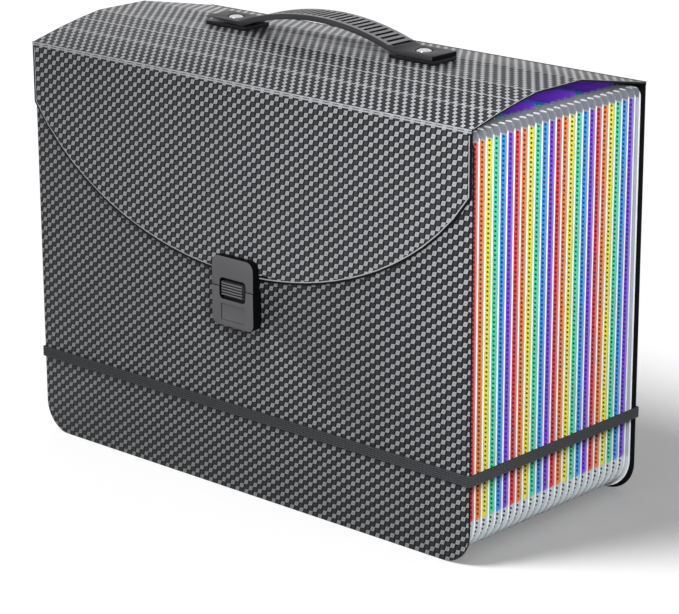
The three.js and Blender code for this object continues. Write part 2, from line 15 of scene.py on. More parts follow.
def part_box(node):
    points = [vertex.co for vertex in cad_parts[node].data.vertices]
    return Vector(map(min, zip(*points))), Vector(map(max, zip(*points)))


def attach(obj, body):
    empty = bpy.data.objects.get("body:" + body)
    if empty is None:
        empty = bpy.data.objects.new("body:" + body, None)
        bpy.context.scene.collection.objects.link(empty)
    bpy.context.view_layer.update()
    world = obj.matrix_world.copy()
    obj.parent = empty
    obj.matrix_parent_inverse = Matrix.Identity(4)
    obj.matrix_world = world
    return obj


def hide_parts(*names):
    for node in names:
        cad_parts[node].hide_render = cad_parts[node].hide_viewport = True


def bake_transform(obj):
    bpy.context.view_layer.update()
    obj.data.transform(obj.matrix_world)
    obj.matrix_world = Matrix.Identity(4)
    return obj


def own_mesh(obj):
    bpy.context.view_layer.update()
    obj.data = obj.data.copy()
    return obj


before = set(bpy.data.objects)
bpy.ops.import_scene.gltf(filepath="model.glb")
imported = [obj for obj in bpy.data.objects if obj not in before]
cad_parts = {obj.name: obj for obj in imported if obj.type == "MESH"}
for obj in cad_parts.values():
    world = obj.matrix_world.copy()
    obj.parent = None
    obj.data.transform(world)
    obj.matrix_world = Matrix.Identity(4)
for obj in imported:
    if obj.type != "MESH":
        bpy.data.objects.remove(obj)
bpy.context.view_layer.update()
MM = 0.001

# %% [markdown]
# The camera comes first. The picture was taken from the front right, a little above the lid, with a long
# lens. A camera is a place, a direction and a focal length, and all three were worked out from the case's
# straight edges. A roll of a fifth of a degree makes the upright edges match.

# %% Camera
CAMERA_AZIMUTH = math.radians(42.274)
CAMERA_ELEVATION = math.radians(17.332)
CAMERA_ROLL = math.radians(-0.194)
CAMERA_DISTANCE = 1593.177 * MM
CAMERA_RIGHT = 5.394 * MM
CAMERA_UP = 89.291 * MM
CASE_CENTRE = Vector((0, 2.25 * MM, 0))
SENSOR = 36
FOCAL_LENGTH = 144.13
FARTHEST = 20


def make_camera():
    a, e, r = CAMERA_AZIMUTH, CAMERA_ELEVATION, CAMERA_ROLL
    back = Vector((math.sin(a) * math.cos(e), -math.cos(a) * math.cos(e), math.sin(e)))
    level = Vector((math.cos(a), math.sin(a), 0))
    above = back.cross(level)
    right = math.cos(r) * level + math.sin(r) * above
    up = -math.sin(r) * level + math.cos(r) * above
    place = back * CAMERA_DISTANCE + right * CAMERA_RIGHT + up * CAMERA_UP + CASE_CENTRE
    camera = bpy.data.objects.new("camera", bpy.data.cameras.new("camera"))
    bpy.context.scene.collection.objects.link(camera)
    camera.data.sensor_width = SENSOR
    camera.data.lens = FOCAL_LENGTH
    camera.data.clip_end = FARTHEST
    rows = [(right[i], up[i], back[i], place[i]) for i in range(3)]
    camera.matrix_world = Matrix((*rows, (0, 0, 0, 1)))
    bpy.context.scene.camera = camera
    return camera


print("camera at", [round(v, 3) for v in make_camera().matrix_world.translation])

# %% [markdown]
# A finish is a sum over nodes, and sums read best as Python. One small class wraps a socket, so that
# `1 - mask` or `a * b` adds the Math node for it. The function `make_node` makes any other node: it takes
# the type, the settings and what goes into the sockets, and gives one output back.

# %% Sockets as numbers


class Value:
    def __init__(self, tree, socket):
        self.tree = tree
        self.socket = socket

    def math(self, operation, *others):
        return make_node(self.tree, "ShaderNodeMath", {"operation": operation}, [self, *others])

    def __add__(self, other):
        return self.math("ADD", other)

    def __sub__(self, other):
        return self.math("SUBTRACT", other)

    def __rsub__(self, other):
        return make_node(self.tree, "ShaderNodeMath", {"operation": "SUBTRACT"}, [other, self])

    def __mul__(self, other):
        return self.math("MULTIPLY", other)

    def __truediv__(self, other):
        return self.math("DIVIDE", other)

    def __mod__(self, other):
        return self.math("FLOORED_MODULO", other)

    def __gt__(self, other):
        return self.math("GREATER_THAN", other)

    def __lt__(self, other):
        return self.math("LESS_THAN", other)

    __radd__ = __add__
    __rmul__ = __mul__


def make_node(tree, kind, settings, inputs, output=0):
    """Adds a node. Inputs that are a Value are linked, and the others are set."""
    node = tree.nodes.new(kind)
    for name, value in settings.items():
        setattr(node, name, value)
    items = inputs.items() if isinstance(inputs, dict) else enumerate(inputs)
    for name, value in items:
        if isinstance(value, Value):
            tree.links.new(value.socket, node.inputs[name])
        else:
            node.inputs[name].default_value = value
    return Value(tree, node.outputs[output])


print("sockets take + - * / % < and >")

# %% [markdown]
# A few nodes come up again and again: a soft step, a mix of two colours, a row of flat colours, the point's
# own place, noise and bump. Each gets a short function with a name that says what it does.

# %% Helpers for finishes
OBJECT_COORDINATES = 3
MIXED_COLOUR = 2


def smooth(value, low, high):
    """0 below low, 1 above high, and a soft step between. The two may be given in either order."""
    ends = {"Value": value, "From Min": min(low, high), "From Max": max(low, high)}
    step = make_node(value.tree, "ShaderNodeMapRange", {"interpolation_type": "SMOOTHSTEP"}, ends)
    return 1 - step if low > high else step


def blend(mask, first, second):
    """A colour that is first where mask is 0 and second where it is 1."""
    a, b = [(*c, 1) if isinstance(c, tuple) else c for c in (first, second)]
    return make_node(mask.tree, "ShaderNodeMix", {"data_type": "RGBA"}, {0: mask, 6: a, 7: b}, MIXED_COLOUR)


def stepped(place, colours):
    """The colours in equal steps, for a place from 0 to 1, with no mixing between them."""
    colour = make_node(place.tree, "ShaderNodeValToRGB", {}, [place])
    ramp = colour.socket.node.color_ramp
    ramp.interpolation = "CONSTANT"
    while len(ramp.elements) < len(colours):
        ramp.elements.new(0.5)
    for number, (stop, shade) in enumerate(zip(ramp.elements, colours)):
        stop.position = number / len(colours)
        stop.color = (*shade, 1)
    return colour


def coordinates(tree):
    """The point's own x, y and z in the row frame, in millimetres."""
    point = make_node(tree, "ShaderNodeTexCoord", {}, {}, OBJECT_COORDINATES)
    split = make_node(tree, "ShaderNodeSeparateXYZ", {}, [point]).socket.node
    return [Value(tree, split.outputs[i]) * (1 / MM) for i in range(3)]


def noise(tree, scale, detail=2.0, stretch=(1, 1, 1)):
    """Noise from 0 to 1, with scale in bumps for each metre."""
    point = make_node(tree, "ShaderNodeTexCoord", {}, {}, OBJECT_COORDINATES)
    scaled = make_node(tree, "ShaderNodeVectorMath", {"operation": "MULTIPLY"}, [point, stretch])
    return make_node(tree, "ShaderNodeTexNoise", {}, {"Vector": scaled, "Scale": scale, "Detail": detail})


def bump(height, distance, strength):
    """A normal that follows the height, with the distance in millimetres."""
    inputs = {"Strength": strength, "Distance": distance * MM, "Height": height}
    return make_node(height.tree, "ShaderNodeBump", {}, inputs)


def srgb(*levels):
    """A colour given in 0 to 255 as the eye sees it, turned into the light that Blender reckons with."""
    parts = [level / 255 for level in levels]
    return tuple(v / 12.92 if v <= 0.04045 else ((v + 0.055) / 1.055) ** 2.4 for v in parts)


def grey(level):
    """The grey of the print, the scores and the elastic, a touch cooler than plain grey."""
    return srgb(level, level + 1, level + 4)


def finish(name, build, **plain):
    """A material: plain values set on the shader itself, and build(tree) giving the sockets that vary."""
    material = bpy.data.materials.new(name)
    material.use_nodes = True
    tree = material.node_tree
    shader = tree.nodes["Principled BSDF"]
    for socket, value in plain.items():
        shader.inputs[socket.replace("_", " ")].default_value = value
    for socket, value in build(tree).items():
        tree.links.new(value.socket, shader.inputs[socket])
    return material


print("mid grey as light", [round(v, 3) for v in grey(128)])

# %% [markdown]
# The sheets carry a woven look, like carbon cloth: pale threads and dark threads in a checkerboard. Each
# thread shows as a leaning square, a parallelogram whose long diagonal runs to the upper right, so that the
# pale ones join into diagonal chains. An image would do it, but then the print would have to be drawn
# first. Here two coordinates are cut into cells with a floor. In a leaning square the two slanted
# coordinates p and q both run from -1 to 1, so the larger of their sizes says how far out a point is.

# %% The woven print
CELL_WIDTH = 3.54
CELL_HEIGHT = 2.83
THREAD_JOINT = srgb(14, 14, 16)
SIDE_SLANT = (2.55, 0.66)
END_SLANT = (2.12, 0.2)
PALE_STEP = (1.06, 0.84)
DARK_STEP = (1.1, 0.66)
PALE_MIDDLE = 0.72
DARK_MIDDLE = 1.25
MIDDLE_SIZE = 0.22


def weave(across, along):
    """Masks of the print: 1 on the pale threads, and 1 on the dark threads. Both are 0 in the joints."""
    column = across / CELL_WIDTH
    row = along / CELL_HEIGHT
    column_number = column.math("FLOOR")
    row_number = row.math("FLOOR")
    u = column - column_number - 0.5
    v = row - row_number - 0.5
    p = (u * SIDE_SLANT[0] - v * SIDE_SLANT[1]).math("ABSOLUTE")
    q = (v * END_SLANT[0] - u * END_SLANT[1]).math("ABSOLUTE")
    out = p.math("MAXIMUM", q)
    ring = smooth(p * p + q * q, 0.0, MIDDLE_SIZE)
    odd = (column_number + row_number) % 2
    pale = smooth(out, *PALE_STEP) * (1 - odd) * (PALE_MIDDLE + ring * (1 - PALE_MIDDLE))
    dark = smooth(out, *DARK_STEP) * odd * (DARK_MIDDLE + ring * (1 - DARK_MIDDLE))
    return pale, dark


def woven(name, turned, pale_thread, dark_thread):
    """The print's material. On the lid it makes a quarter turn, so that the long side runs to the rear."""
    def build(tree):
        x, y, z = coordinates(tree)
        pale, dark = weave(y, x * -1) if turned else weave(x, z)
        wear = noise(tree, 260)
        colour = blend(dark * (0.7 + wear * 0.5), THREAD_JOINT, dark_thread)
        return {
            "Base Color": blend(pale, colour, pale_thread),
            "Roughness": 0.42 - pale * 0.08,
            "Normal": bump(pale + dark * 0.6, 0.06, 0.5),
        }

    return finish(name, build, Specular_IOR_Level=0.1)


WEAVE_UPRIGHT = woven("woven_sheet_upright", False, grey(152), grey(48))
WEAVE_FLAP = woven("woven_sheet_flap", False, grey(162), grey(58))
WEAVE_LEVEL = woven("woven_sheet_lid", True, grey(160), grey(42))
print("weave cell", CELL_WIDTH, "by", CELL_HEIGHT, "mm")

# %% [markdown]
# Under the print the sheet is black plastic, which shows inside and along every cut edge. Pale lines are
# painted on it as well: along the flap's edge as a painted highlight, and along the folds and creases as
# painted glints of light.

# %% Black sheet and pale lines


def black_sheet():
    def build(tree):
        grain = noise(tree, 2600, 3)
        return {
            "Base Color": blend(grain, srgb(7, 7, 8), srgb(15, 15, 17)),
            "Roughness": 0.42 + grain * 0.2,
            "Normal": bump(grain, 0.02, 0.3),
        }

    return finish("black_sheet_inside", build, Specular_IOR_Level=0.08)


def pale_line(name, scale, low, high, roughness):
    def build(tree):
        grain = noise(tree, scale)
        return {"Base Color": blend(grain, grey(low), grey(high)), "Roughness": roughness + grain * 0.1}

    return finish(name, build)


BLACK_SHEET = black_sheet()
# A pale line, painted as the highlight along the flap's edge.
EDGE_PAINTED_HIGHLIGHT = pale_line("sheet_edge_painted_highlight", 900, 136, 182, 0.3)
# Pale dashed lines, painted as glints of light along the folds and creases.
FOLD_PAINTED_GLINT = pale_line("fold_painted_glint", 400, 132, 196, 0.34)
print("sheet finishes", [m.name for m in (BLACK_SHEET, EDGE_PAINTED_HIGHLIGHT, FOLD_PAINTED_GLINT)])

# %% [markdown]
# Many rigid pieces already have their true form in the frame, but with knife-sharp edges, and a real
# moulding or cut sheet has a small round on each edge that catches the light. So a piece is copied from
# its node, its flat faces are joined again, and its sharp edges are bevelled. Each face then gets its own
# material, and the bevel's faces may take another one than the flats beside them.

# %% Copies with soft edges
SHARP = math.radians(22)
FLAT = math.radians(0.6)
HARD_SHADING = math.radians(32)
SAME_POINT = 0.005 * MM


def piece_from(bm, name, materials, hard=None):
    """Turns the bmesh into a piece. Edges that turn by more than the angle hard are shaded as edges."""
    mesh = bpy.data.meshes.new(name)
    bm.to_mesh(mesh)
    bm.free()
    for material in materials:
        mesh.materials.append(material)
    if hard:
        mesh.set_sharp_from_angle(angle=hard)
    piece = bpy.data.objects.new(name, mesh)
    bpy.context.scene.collection.objects.link(piece)
    return piece


def soft_copy(node, name, body, width, segments, materials, choose=None, sharp=SHARP):
    """A bevelled copy of a node. choose(normal, centre, on_bevel) gives each face's material number."""
    bm = bmesh.new()
    bm.from_mesh(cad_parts[node].data)
    bmesh.ops.remove_doubles(bm, verts=bm.verts, dist=SAME_POINT)
    bmesh.ops.dissolve_limit(bm, angle_limit=FLAT, verts=bm.verts, edges=bm.edges)
    edges = [e for e in bm.edges if len(e.link_faces) == 2 and e.calc_face_angle(0) > sharp]
    made = bmesh.ops.bevel(bm, geom=edges, offset=width * MM, segments=segments, affect="EDGES", profile=0.5,
                           clamp_overlap=True, offset_type="OFFSET")
    on_bevel = set(made["faces"])
    bm.normal_update()
    for face in bm.faces:
        if choose:
            face.material_index = choose(face.normal, face.calc_center_median(), face in on_bevel)
        face.smooth = True
    piece = piece_from(bm, name, materials, HARD_SHADING)
    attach(piece, body)
    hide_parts(node)
    return piece


print("edges over", round(math.degrees(SHARP)), "degrees get a bevel")

# %% [markdown]
# The covers and the flap are die-cut, so their edges are rounded by a third of a millimetre only. Along the
# flap's edge the print stops short: a pale line is painted there as the edge's highlight, and then a black
# ring as painted shadow.

# %% Covers and flap
EDGE = 0.35
EDGE_PAINTED_SHADOW_WIDTH = 1.0
EDGE_PAINTED_HIGHLIGHT_WIDTH = 0.6
FACING = 0.95
CREASE_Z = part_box("lid_flap")[1].z
CREASE_BEVEL = 0.4 * MM
PLAIN_NEAR_CREASE = 3 * MM
PLAIN_HALF_WIDTH = 50 * MM
FRONT = Vector((0, -1, 0))
REAR = Vector((0, 1, 0))


def sheet_faces(outward):
    """Woven print outside, and black on the cut edges and inside."""
    return lambda normal, centre, on_bevel: 0 if normal.dot(outward) > FACING else 1


def flap_faces(normal, centre, on_bevel):
    """As the other sheets, with the print carried up to the crease."""
    at_crease = on_bevel and centre.z > CREASE_Z - CREASE_BEVEL and normal.y < 0
    return 0 if normal.dot(FRONT) > FACING or at_crease else 1


def paint_edge_highlight_and_shadow(piece, outward):
    """Insets the print, and paints a black ring as shadow and a pale ring as highlight, but not along the
    middle of the crease.
    """
    bm = bmesh.new()
    bm.from_mesh(piece.data)
    bm.normal_update()
    printed = [f for f in bm.faces if f.material_index == 0 and f.normal.dot(outward) > FACING]
    # The outer ring is painted black as shadow, and the ring inside it pale as highlight.
    for width, material in ((EDGE_PAINTED_SHADOW_WIDTH, 1), (EDGE_PAINTED_HIGHLIGHT_WIDTH, 2)):
        ring = bmesh.ops.inset_region(bm, faces=printed, thickness=width * MM, use_even_offset=True)
        for face in ring["faces"]:
            centre = face.calc_center_median()
            at_crease = centre.z > CREASE_Z - PLAIN_NEAR_CREASE and abs(centre.x) < PLAIN_HALF_WIDTH
            face.material_index = 0 if at_crease else material
            face.smooth = True
    bm.to_mesh(piece.data)
    bm.free()


cover_finishes = [WEAVE_UPRIGHT, BLACK_SHEET]
flap_finishes = [WEAVE_FLAP, BLACK_SHEET, EDGE_PAINTED_HIGHLIGHT]
covers = [
    soft_copy("front_cover", "front_cover_sheet", "case", EDGE, 2, cover_finishes, sheet_faces(FRONT)),
    soft_copy("rear_cover", "rear_cover_sheet", "case", EDGE, 2, cover_finishes, sheet_faces(REAR)),
]
flap = soft_copy("lid_flap", "flap_sheet", "flap", EDGE, 2, flap_finishes, flap_faces)
paint_edge_highlight_and_shadow(flap, FRONT)
print("sheets", [len(sheet.data.polygons) for sheet in (*covers, flap)])

# %% [markdown]
# The lid is one sheet with four soft folds. On the real one each fold is a rolled score. Along it a fine
# pale line is painted, as the glint of light on the fold. The folds turn by only a few degrees, so the
# sharpness limit is lowered here and the narrow bevel along each fold takes the line's colour.

# %% Lid
FOLD = math.radians(2)
FOLD_WIDTH = 0.5


def lid_faces(normal, centre, on_bevel):
    """Print on what faces up, folds painted pale as glints, and black ends and underside."""
    if normal.z < 0.2 or abs(normal.x) > 0.5:
        return 1
    return 2 if on_bevel else 0


lid = soft_copy("lid_top", "lid_sheet", "lid", FOLD_WIDTH, 2, [WEAVE_LEVEL, BLACK_SHEET, FOLD_PAINTED_GLINT],
                lid_faces, FOLD)
print("lid faces", len(lid.data.polygons))

# %% [markdown]
# In the real sheet the flap, the lid and the rear cover are one piece, thinned along two creases. Such a
# living hinge bends in a strip a few millimetres high, so a strip closes each gap here. Its two score lines
# are painted pale, as glints of light.

# %% Living hinges
CREASE_GAP = 1.5 * MM
SHEET_TOP = CREASE_Z + CREASE_GAP
HINGE_OVERLAP = 0.3 * MM
HINGE_THICKNESS = 0.7 * MM
HINGE_ROWS = 5
LID_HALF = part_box("lid_top")[1].x


def living_hinge(name, outer_y, inward):
    """A thin strip from just under the crease to just over the gap, outer face flush with the sheets."""
    low, high = CREASE_Z - HINGE_OVERLAP, SHEET_TOP + HINGE_OVERLAP
    inner_y = outer_y + inward * HINGE_THICKNESS
    corners = [(-LID_HALF, outer_y), (LID_HALF, outer_y), (LID_HALF, inner_y), (-LID_HALF, inner_y)]
    bm = bmesh.new()
    heights = [low + (high - low) * row / HINGE_ROWS for row in range(HINGE_ROWS + 1)]
    rings = [[bm.verts.new((x, y, z)) for x, y in corners] for z in heights]
    for row, (here, there) in enumerate(zip(rings, rings[1:])):
        # The rows outside the middle are painted pale, as glints of light along the two score lines.
        outer = 0 if row == HINGE_ROWS // 2 else 2
        for i in range(4):
            face = bm.faces.new((here[i], here[(i + 1) % 4], there[(i + 1) % 4], there[i]))
            face.material_index = outer if i == 0 else 1
    for ring in (rings[0], rings[-1]):
        bm.faces.new(ring).material_index = 1
    bmesh.ops.recalc_face_normals(bm, faces=bm.faces)
    strip = piece_from(bm, name, (WEAVE_FLAP, BLACK_SHEET, FOLD_PAINTED_GLINT))
    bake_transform(strip)
    return strip


hinges = [
    living_hinge("front_living_hinge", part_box("lid_flap")[0].y, 1),
    living_hinge("rear_living_hinge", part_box("rear_cover")[1].y, -1),
]
print("hinges", [hinge.name for hinge in hinges])

# %% [markdown]
# Bands, film and wire are one section drawn along a line, and a lathed rivet is its profile drawn round a
# ring. A sweep does them all: the section's points are placed at each step of the line, and neighbouring
# rings are joined by faces.

# %% Sweep
SWEEP_SHADING = math.radians(40)


def swept(name, places, section, closed, material):
    """A closed body. Each place is a function that turns a section point (a, b) into x, y, z in mm."""
    bm = bmesh.new()
    rings = [[bm.verts.new(Vector(place(a, b)) * MM) for a, b in section] for place in places]
    count = len(section)
    for here, there in zip(rings, rings[1:] + rings[:1] if closed else rings[1:]):
        for i in range(count):
            j = (i + 1) % count
            bm.faces.new((here[i], here[j], there[j], there[i]))
    if not closed:
        bm.faces.new(rings[0])
        bm.faces.new(list(reversed(rings[-1])))
    bmesh.ops.recalc_face_normals(bm, faces=bm.faces)
    for face in bm.faces:
        face.smooth = True
    return piece_from(bm, name, [material], SWEEP_SHADING)


def parts_of_turn(count):
    """Angles from 0 in equal steps, up to but without the whole turn."""
    return [2 * math.pi * k / count for k in range(count)]


print("a turn in four", [round(math.degrees(t)) for t in parts_of_turn(4)])

# %% [markdown]
# The bellows is frosted film, welded to a fin round each divider's edge and folded in between. Along the
# outer edge of a fin the film is painted white, as the crest's highlight. Behind it the divider's colour
# shows almost clear, and below the divider's cut corner there is bare film again. So the film's cover is
# worked out from one number, the depth in from the crests, which follows the side, the round corner and the
# floor alike.

# %% Where the film runs
FILM_LOW, FILM_HIGH = (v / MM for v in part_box("gusset_right"))
CREST = FILM_HIGH.x
FILM_TOP = FILM_HIGH.z
FILM_FLOOR = FILM_LOW.z
FILM_CORNER = CREST - FILM_LOW.x
CORNER_Z = FILM_FLOOR + FILM_CORNER
FIN_HALF = 0.72
FIN_DEPTH = 6
PLEAT_DEPTH = 15
FILM = 0.4
FRONT_FLANGE = 0.4
REAR_FLANGE = -1.7
print("crests at x", round(CREST, 2), "corner", round(FILM_CORNER, 2))

# %% [markdown]
# A fin stands in each pleat, one more than there are dividers, because the first pleat is bare. The rest is
# read from the dividers themselves: their edge, their floor, and the shoulder that the tabs rise from.

# %% Where the dividers stand
DIVIDERS = sorted(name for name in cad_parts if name.startswith("divider_"))
DIVIDER_Y = [sum(v.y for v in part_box(name)) / 2 / MM for name in DIVIDERS]
DIVIDER_LOW, DIVIDER_HIGH = (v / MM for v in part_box(DIVIDERS[0]))
DIVIDER_EDGE = DIVIDER_HIGH.x
DIVIDER_FLOOR = DIVIDER_LOW.z
DIVIDER_CHAMFER = 19
TAB_RISE = 7.5
DIVIDER_SHOULDER = DIVIDER_HIGH.z - TAB_RISE
BARE_FROM = DIVIDER_FLOOR + DIVIDER_CHAMFER - DIVIDER_EDGE
PITCH = DIVIDER_Y[1] - DIVIDER_Y[0]
FIN_Y = [DIVIDER_Y[0] + PITCH * (i - 1) for i in range(len(DIVIDERS) + 1)]
print("pitch", round(PITCH, 3), "fins", len(FIN_Y))

# %% [markdown]
# The finish paints by place. Beside a divider the film takes some of its colour, round weld marks run down
# each fin, and the crests and the tops of the fingers are painted white as highlight. Above the dividers'
# shoulder the film is painted a darker grey, as shade. Alpha is low over the dividers, so that their colour
# shows through, and higher toward the floor, where the folds lie close together.

# %% Film finish
DIVIDER_COLOURS = {
    "red": srgb(240, 60, 68),
    "orange": srgb(250, 138, 58),
    "yellow": srgb(255, 248, 62),
    "green": srgb(70, 232, 182),
    "blue": srgb(48, 160, 250),
    "purple": srgb(134, 70, 240),
}
FILM_COLOUR = srgb(216, 226, 230)
# The tips' grey is painted shade, and the crests' white is painted highlight.
TIP_PAINTED_SHADE = srgb(150, 154, 164)
CREST_PAINTED_HIGHLIGHT = srgb(250, 252, 255)
MARK_COLOUR = srgb(16, 18, 22)
DOT_PITCH = 2.6
DOT_DEPTH = 2.75
DOT_HEIGHT = 0.66
DOT_WIDTH = 0.72
MARKS_BELOW = 9
LEAST_COVER = 0.03


def film_depth(point):
    """Depth in from the crests, in mm."""
    side = (point[0].math("ABSOLUTE") - (CREST - FILM_CORNER)).math("MAXIMUM", 0)
    under = (CORNER_Z - point[2]).math("MAXIMUM", 0)
    return FILM_CORNER - (side * side + under * under).math("SQRT")


def dots(point, depth):
    """1 on the round weld marks that run along each fin."""
    step = (point[2] / DOT_PITCH) % 1 - 0.5
    across = (depth - DOT_DEPTH) / DOT_WIDTH
    up = step * (DOT_PITCH / DOT_HEIGHT)
    return smooth((across * across + up * up).math("SQRT"), 1.15, 0.85)


def pleat_colour(y):
    """The colour of the divider that the fin at y holds."""
    turn = len(DIVIDER_COLOURS)
    place = (((y - FIN_Y[0]) / PITCH - 0.5).math("FLOOR") / turn + 0.5 / turn) % 1
    return stepped(place, list(DIVIDER_COLOURS.values()))


def film_finish():
    def build(tree):
        point = coordinates(tree)
        depth = film_depth(point)
        inset = CREST - DIVIDER_EDGE
        height = point[2] - point[0].math("ABSOLUTE")
        pleated = point[1] < FIN_Y[-1] + 1
        beside = smooth(height, BARE_FROM - 0.3, BARE_FROM + 0.6)
        beside = beside * smooth(point[2], DIVIDER_SHOULDER + 0.4, DIVIDER_SHOULDER - 0.4)
        beside = beside * (point[1] > FIN_Y[0] + PITCH / 2) * pleated
        backed = beside * smooth(depth, inset - 0.3, inset)
        # Painted highlight: white along the fin crests, the rear flange's edge and the tops of the fingers.
        crest = smooth(depth, 0.3, 0.08) * pleated
        crest = crest.math("MAXIMUM", smooth(depth, REAR_FLANGE + 0.9, REAR_FLANGE + 0.6))
        rim = smooth(point[2], FILM_TOP - 0.7, FILM_TOP - 0.3) * (depth < FIN_DEPTH)
        white = crest.math("MAXIMUM", rim)
        frost = noise(tree, 700, 3)
        marks = dots(point, depth) * (1 - backed)
        marks = marks * (height > BARE_FROM - MARKS_BELOW) * (point[2] < DIVIDER_SHOULDER)
        # Painted shade: the film above the dividers' shoulder is a darker grey.
        above = smooth(point[2], DIVIDER_SHOULDER, DIVIDER_SHOULDER + 1)
        colour = blend(above, FILM_COLOUR, TIP_PAINTED_SHADE)
        colour = blend(beside * 0.5, colour, pleat_colour(point[1]))
        colour = blend(white, colour, CREST_PAINTED_HIGHLIGHT)
        lower = smooth(point[2], BARE_FROM + CREST, CORNER_Z)
        cover = (1 - backed) * (0.36 + lower * 0.3 + frost * 0.15)
        cover = cover * (1 - (0.35 - lower * 0.2) * smooth(depth, FIN_DEPTH, FIN_DEPTH + 0.5))
        cover = cover.math("MAXIMUM", white * 0.92).math("MAXIMUM", marks)
        return {
            "Base Color": blend(marks, colour, MARK_COLOUR),
            "Alpha": cover.math("MAXIMUM", LEAST_COVER),
            "Roughness": 0.25 + frost * 0.18,
            "Normal": bump(frost + marks * 0.6, 0.03, 0.35),
        }

    return finish("frosted_film", build, Specular_IOR_Level=0.3)


FROSTED_FILM = film_finish()
print("film tinted by", len(DIVIDER_COLOURS), "colours")

# %% [markdown]
# The section across the pleats is one closed line: out over every fin and into every valley, and back
# along the pocket side a film's thickness further in. For the sweep, a is the depth and b is y.

# %% Section of the film
CREST_ROUND = 0.1
SHOULDER_ROUND = 0.4
ROUND_PART = 0.62
POCKET_DEPTH = 1.2


def film_section():
    """Depth against y: the outer side over every fin, and back along the pocket side."""
    front, rear = FILM_LOW.y, FILM_HIGH.y
    pocket = FIN_HALF - FILM
    valley = PLEAT_DEPTH + FILM
    outer = [(FRONT_FLANGE, front + FILM), (PLEAT_DEPTH, front + FILM)]
    inner = [(FRONT_FLANGE, front), (valley, front), (valley, front + 2 * FILM)]
    for i, y in enumerate(FIN_Y):
        rise = [(FIN_DEPTH, FIN_HALF), (SHOULDER_ROUND, FIN_HALF), (CREST_ROUND, FIN_HALF * ROUND_PART)]
        outer += [(depth, y - half) for depth, half in rise]
        outer += [(0, y)]
        outer += [(depth, y + half) for depth, half in reversed(rise)]
        inner += [(FIN_DEPTH, y - pocket), (POCKET_DEPTH, y - pocket), (POCKET_DEPTH, y + pocket),
                  (FIN_DEPTH, y + pocket)]
        if i < len(FIN_Y) - 1:
            middle = y + PITCH / 2
            outer.append((PLEAT_DEPTH, middle))
            inner += [(valley, middle - FILM), (valley, middle + FILM)]
    outer += [(PLEAT_DEPTH, rear - FILM), (REAR_FLANGE, rear - FILM)]
    inner += [(valley, rear - 2 * FILM), (valley, rear), (REAR_FLANGE, rear)]
    return outer + inner[::-1]


print("points in the film's section", len(film_section()))

# %% [markdown]
# The line runs down one side, round the corner, under the floor and up the other side. At the top each fin
# ends in a rounded finger, so there the section is drawn in toward its valleys.

# %% Film bellows
FINGER = 5
FINGER_DRAW = 0.72
FINGER_STEPS = 6
SIDE_STEPS = 4
CORNER_STEPS = 12


def side_places(side):
    """From the top of one side down to the start of the floor, fingers rounded at the top."""
    def straight(z, drawn_in=0):
        keep = 1 - drawn_in / PLEAT_DEPTH
        return lambda a, b: (side * (CREST - drawn_in - a * keep), b, z)

    def turned(angle):
        c, s = math.cos(angle), math.sin(angle)
        centre = CREST - FILM_CORNER
        return lambda a, b: (side * (centre + (FILM_CORNER - a) * c), b, CORNER_Z - (FILM_CORNER - a) * s)

    places = []
    for step in range(FINGER_STEPS + 1):
        angle = math.pi / 2 * step / FINGER_STEPS
        drawn_in = FINGER * FINGER_DRAW * (1 - math.sin(angle))
        places.append(straight(FILM_TOP - FINGER * (1 - math.cos(angle)), drawn_in))
    start = FILM_TOP - FINGER
    places += [straight(start + (CORNER_Z - start) * i / SIDE_STEPS) for i in range(1, SIDE_STEPS)]
    places += [turned(math.pi / 2 * i / CORNER_STEPS) for i in range(CORNER_STEPS + 1)]
    return places


film = swept("film_bellows", side_places(-1) + side_places(1)[::-1], film_section(), False, FROSTED_FILM)
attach(film, "case")
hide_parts("gusset_left", "gusset_right", "gusset_bottom")
print("film faces", len(film.data.polygons))

# %% [markdown]
# Each divider keeps its CAD solid, a plain cut sheet. Its plastic is coloured right through and a little
# cloudy, and the weld marks along its two side edges are darker than the sheet.

# %% Divider finishes
MARK_SHADE = 0.03
CLOUD_SHADE = 0.85
MARKS_FROM = DIVIDER_FLOOR + DIVIDER_CHAMFER + 1


def divider_finish(name, colour):
    def build(tree):
        point = coordinates(tree)
        marks = dots(point, CREST - point[0].math("ABSOLUTE")) * (point[2] > MARKS_FROM)
        cloud = noise(tree, 60)
        sheet = blend(cloud, colour, tuple(v * CLOUD_SHADE for v in colour))
        return {
            "Base Color": blend(marks, sheet, tuple(v * MARK_SHADE for v in colour)),
            "Roughness": 0.38 + cloud * 0.15,
            "Normal": bump(cloud - marks, 0.05, 0.4),
        }

    return finish(f"divider_{name}", build)


def repaint(node, material):
    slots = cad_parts[node].data.materials
    slots.clear()
    slots.append(material)


finishes = {name: divider_finish(name, colour) for name, colour in DIVIDER_COLOURS.items()}
for name in DIVIDERS:
    repaint(name, finishes[name.rsplit("_", 1)[1]])
print("dividers", len(DIVIDERS))

# %% [markdown]
# The band is flat woven elastic: rubber cords run along it, with yarn crossing between them. The cords are
# in the section, as round ribs, and the yarn is fine enough for bump. The grooves between the ribs are
# painted near black, as shade.

# %% Elastic finish
BAND_RIBS = 5
BAND_LOW, BAND_HIGH = (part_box("elastic_band")[i].z / MM for i in range(2))
RIB_HEIGHT = (BAND_HIGH - BAND_LOW) / BAND_RIBS
YARN_PER_MM = 2.4


